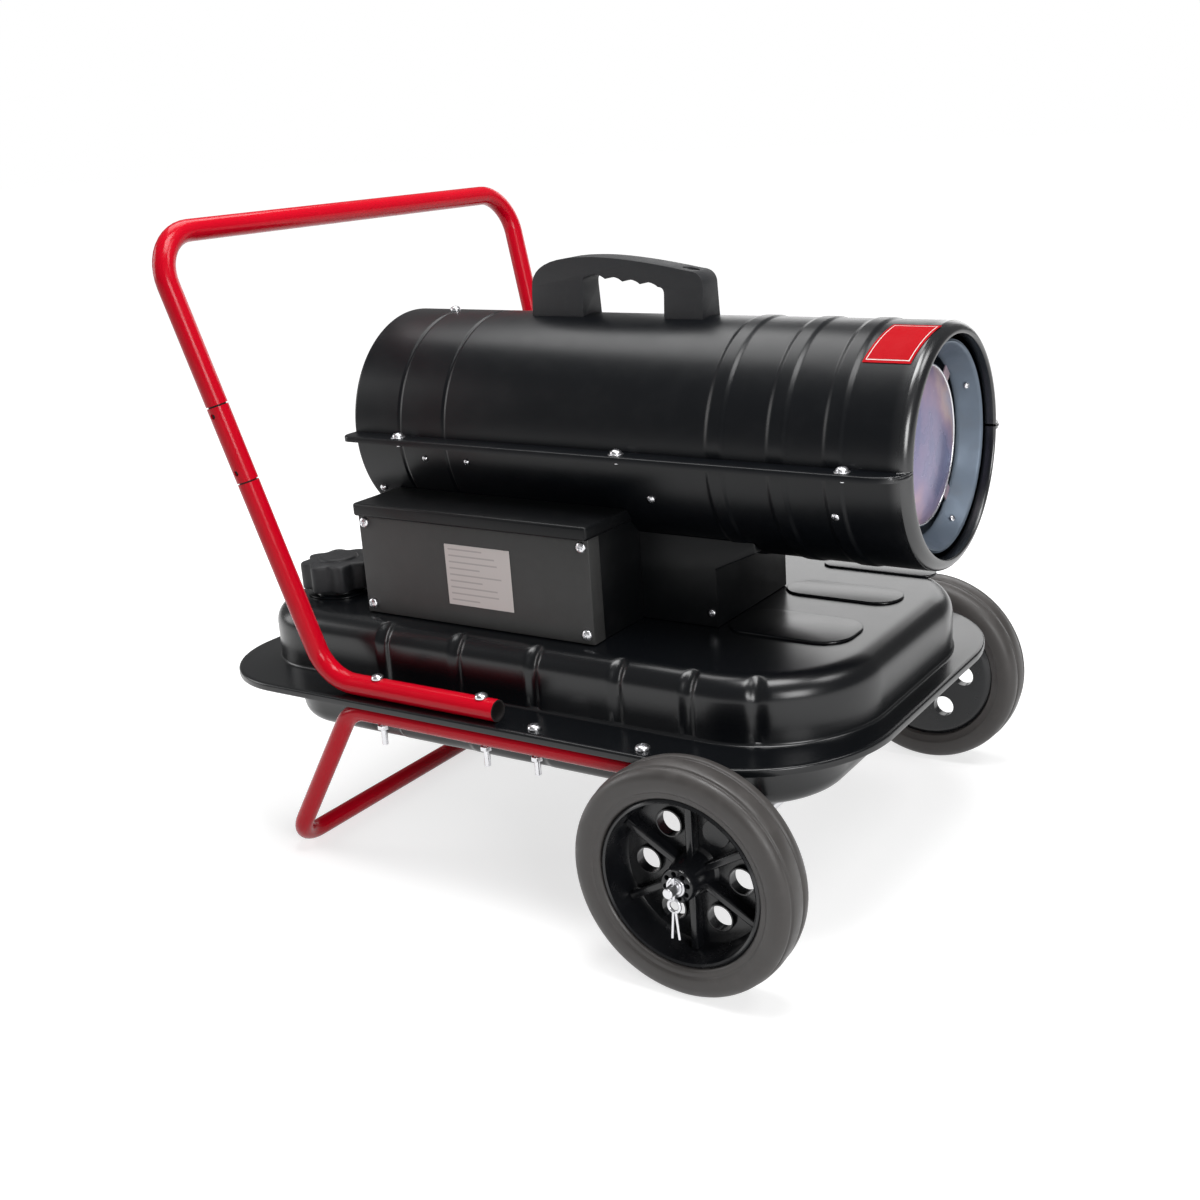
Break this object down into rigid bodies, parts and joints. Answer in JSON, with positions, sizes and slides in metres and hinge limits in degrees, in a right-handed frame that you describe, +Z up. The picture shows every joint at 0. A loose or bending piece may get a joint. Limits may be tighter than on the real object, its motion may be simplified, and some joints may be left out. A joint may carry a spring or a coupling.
{
  "type": "forced air heater",
  "caption": "Portable oil-fired forced air heater: a round burner barrel with a carry handle on a flanged steel fuel tank, with wheels, a rear foot and a push handle.",
  "frame": {"origin": "centre of the footprint on the floor", "axes": "+X towards the hot outlet, +Y towards the heater's left, +Z up"},
  "size_m": [0.873, 0.7298, 0.7655],
  "materials": {
    "red_gloss_paint": "glossy red powder coat on bent steel tube",
    "black_gloss_paint": "glossy black paint on pressed steel",
    "black_satin_sheet": "satin black paint on folded sheet steel",
    "tyre_rubber": "dark grey solid rubber",
    "black_plastic": "matte black moulded plastic",
    "bright_zinc": "bright zinc plate",
    "heat_tinted_steel": "steel with a purple heat tint",
    "chamber_steel": "blue grey heat resistant steel",
    "cast_aluminium": "plain cast aluminium",
    "pale_film": "pale printed film",
    "brass_metal": "turned brass",
    "ceramic": "glazed white ceramic",
    "circuit_board": "green circuit board",
    "copper_tube": "drawn copper tube",
    "black_rubber": "soft black rubber",
    "steel_gauze": "fine woven steel gauze"
  },
  "bodies": {
    "base": {"air_filter_cover": "black_plastic", "air_line": "copper_tube", "air_pump_body": "cast_aluminium", "axle": "bright_zinc", "base_housing": "black_satin_sheet", "burner_head": "cast_aluminium", "cable_gland": "black_plastic", "carry_handle": "black_plastic", "combustion_chamber": "chamber_steel", "control_board": "circuit_board", "control_panel": "black_satin_sheet", "control_tray": "black_satin_sheet", "deflector_disc": "heat_tinted_steel", "drain_plug": "bright_zinc", "filler_neck": "bright_zinc", "flame_photocell": "black_plastic", "foot_frame": "red_gloss_paint", "fuel_line": "copper_tube", "fuel_nozzle": "brass_metal", "fuel_strainer": "steel_gauze", "handle_bolt_left_1": "bright_zinc", "handle_bolt_left_2": "bright_zinc", "handle_bolt_right_1": "bright_zinc", "handle_bolt_right_2": "bright_zinc", "handle_leg_left": "red_gloss_paint", "handle_leg_right": "red_gloss_paint", "handle_sleeve_left": "red_gloss_paint", "handle_sleeve_right": "red_gloss_paint", "handle_upper": "red_gloss_paint", "ignition_electrodes": "ceramic", "ignition_transformer": "black_plastic", "lower_shell": "black_gloss_paint", "motor_body": "cast_aluminium", "motor_bracket": "black_satin_sheet", "outlet_ring": "chamber_steel", "panel_tray": "black_satin_sheet", "rating_plate": "pale_film", "rear_guard": "black_satin_sheet", "ring_pin_left": "bright_zinc", "ring_pin_right": "bright_zinc", "service_cover": "black_satin_sheet", "side_rail_left": "red_gloss_paint", "side_rail_right": "red_gloss_paint", "switch_frame": "black_plastic", "tank_lower_pan": "black_gloss_paint", "tank_upper_pan": "black_gloss_paint", "top_label": "red_gloss_paint", "upper_shell": "black_gloss_paint", "washer_left": "bright_zinc", "washer_right": "bright_zinc"},
    "wheel_right": {"hub_right": "black_plastic", "tyre_right": "tyre_rubber"},
    "wheel_left": {"hub_left": "black_plastic", "tyre_left": "tyre_rubber"},
    "blower": {"motor_and_pump_rotor": "bright_zinc", "fan": "cast_aluminium"},
    "cap_lifter": {"cap_seal": "black_rubber"},
    "cap": {"fuel_cap": "black_plastic"},
    "thermostat": {"thermostat_knob": "black_plastic"},
    "rocker": {"power_switch": "red_gloss_paint"}
  },
  "joints": [
    {"name": "wheel_right_spin", "type": "hinge", "parent": "base", "child": "wheel_right", "pos_m": [0.2785, -0.323, 0.125], "axis": [0, 1, 0], "continuous": true},
    {"name": "wheel_left_spin", "type": "hinge", "parent": "base", "child": "wheel_left", "pos_m": [0.2785, 0.323, 0.125], "axis": [0, 1, 0], "continuous": true},
    {"name": "blower_spin", "type": "hinge", "parent": "base", "child": "blower", "pos_m": [-0.0675, 0, 0.501], "axis": [1, 0, 0], "continuous": true},
    {"name": "cap_lift", "type": "slide", "parent": "base", "child": "cap_lifter", "axis": [0, 0, 1], "range_m": [0, 0.06]},
    {"name": "cap_turn", "type": "hinge", "parent": "cap_lifter", "child": "cap", "pos_m": [-0.3285, -0.134, 0.33], "axis": [0, 0, 1], "range_deg": [0, 360]},
    {"name": "thermostat_turn", "type": "hinge", "parent": "base", "child": "thermostat", "pos_m": [0.0285, 0.19, 0.372], "axis": [0, 1, 0], "range_deg": [0, 270]},
    {"name": "power_rock", "type": "hinge", "parent": "base", "child": "rocker", "pos_m": [-0.0415, 0.187, 0.372], "axis": [1, 0, 0], "range_deg": [-8, 8]}
  ]
}
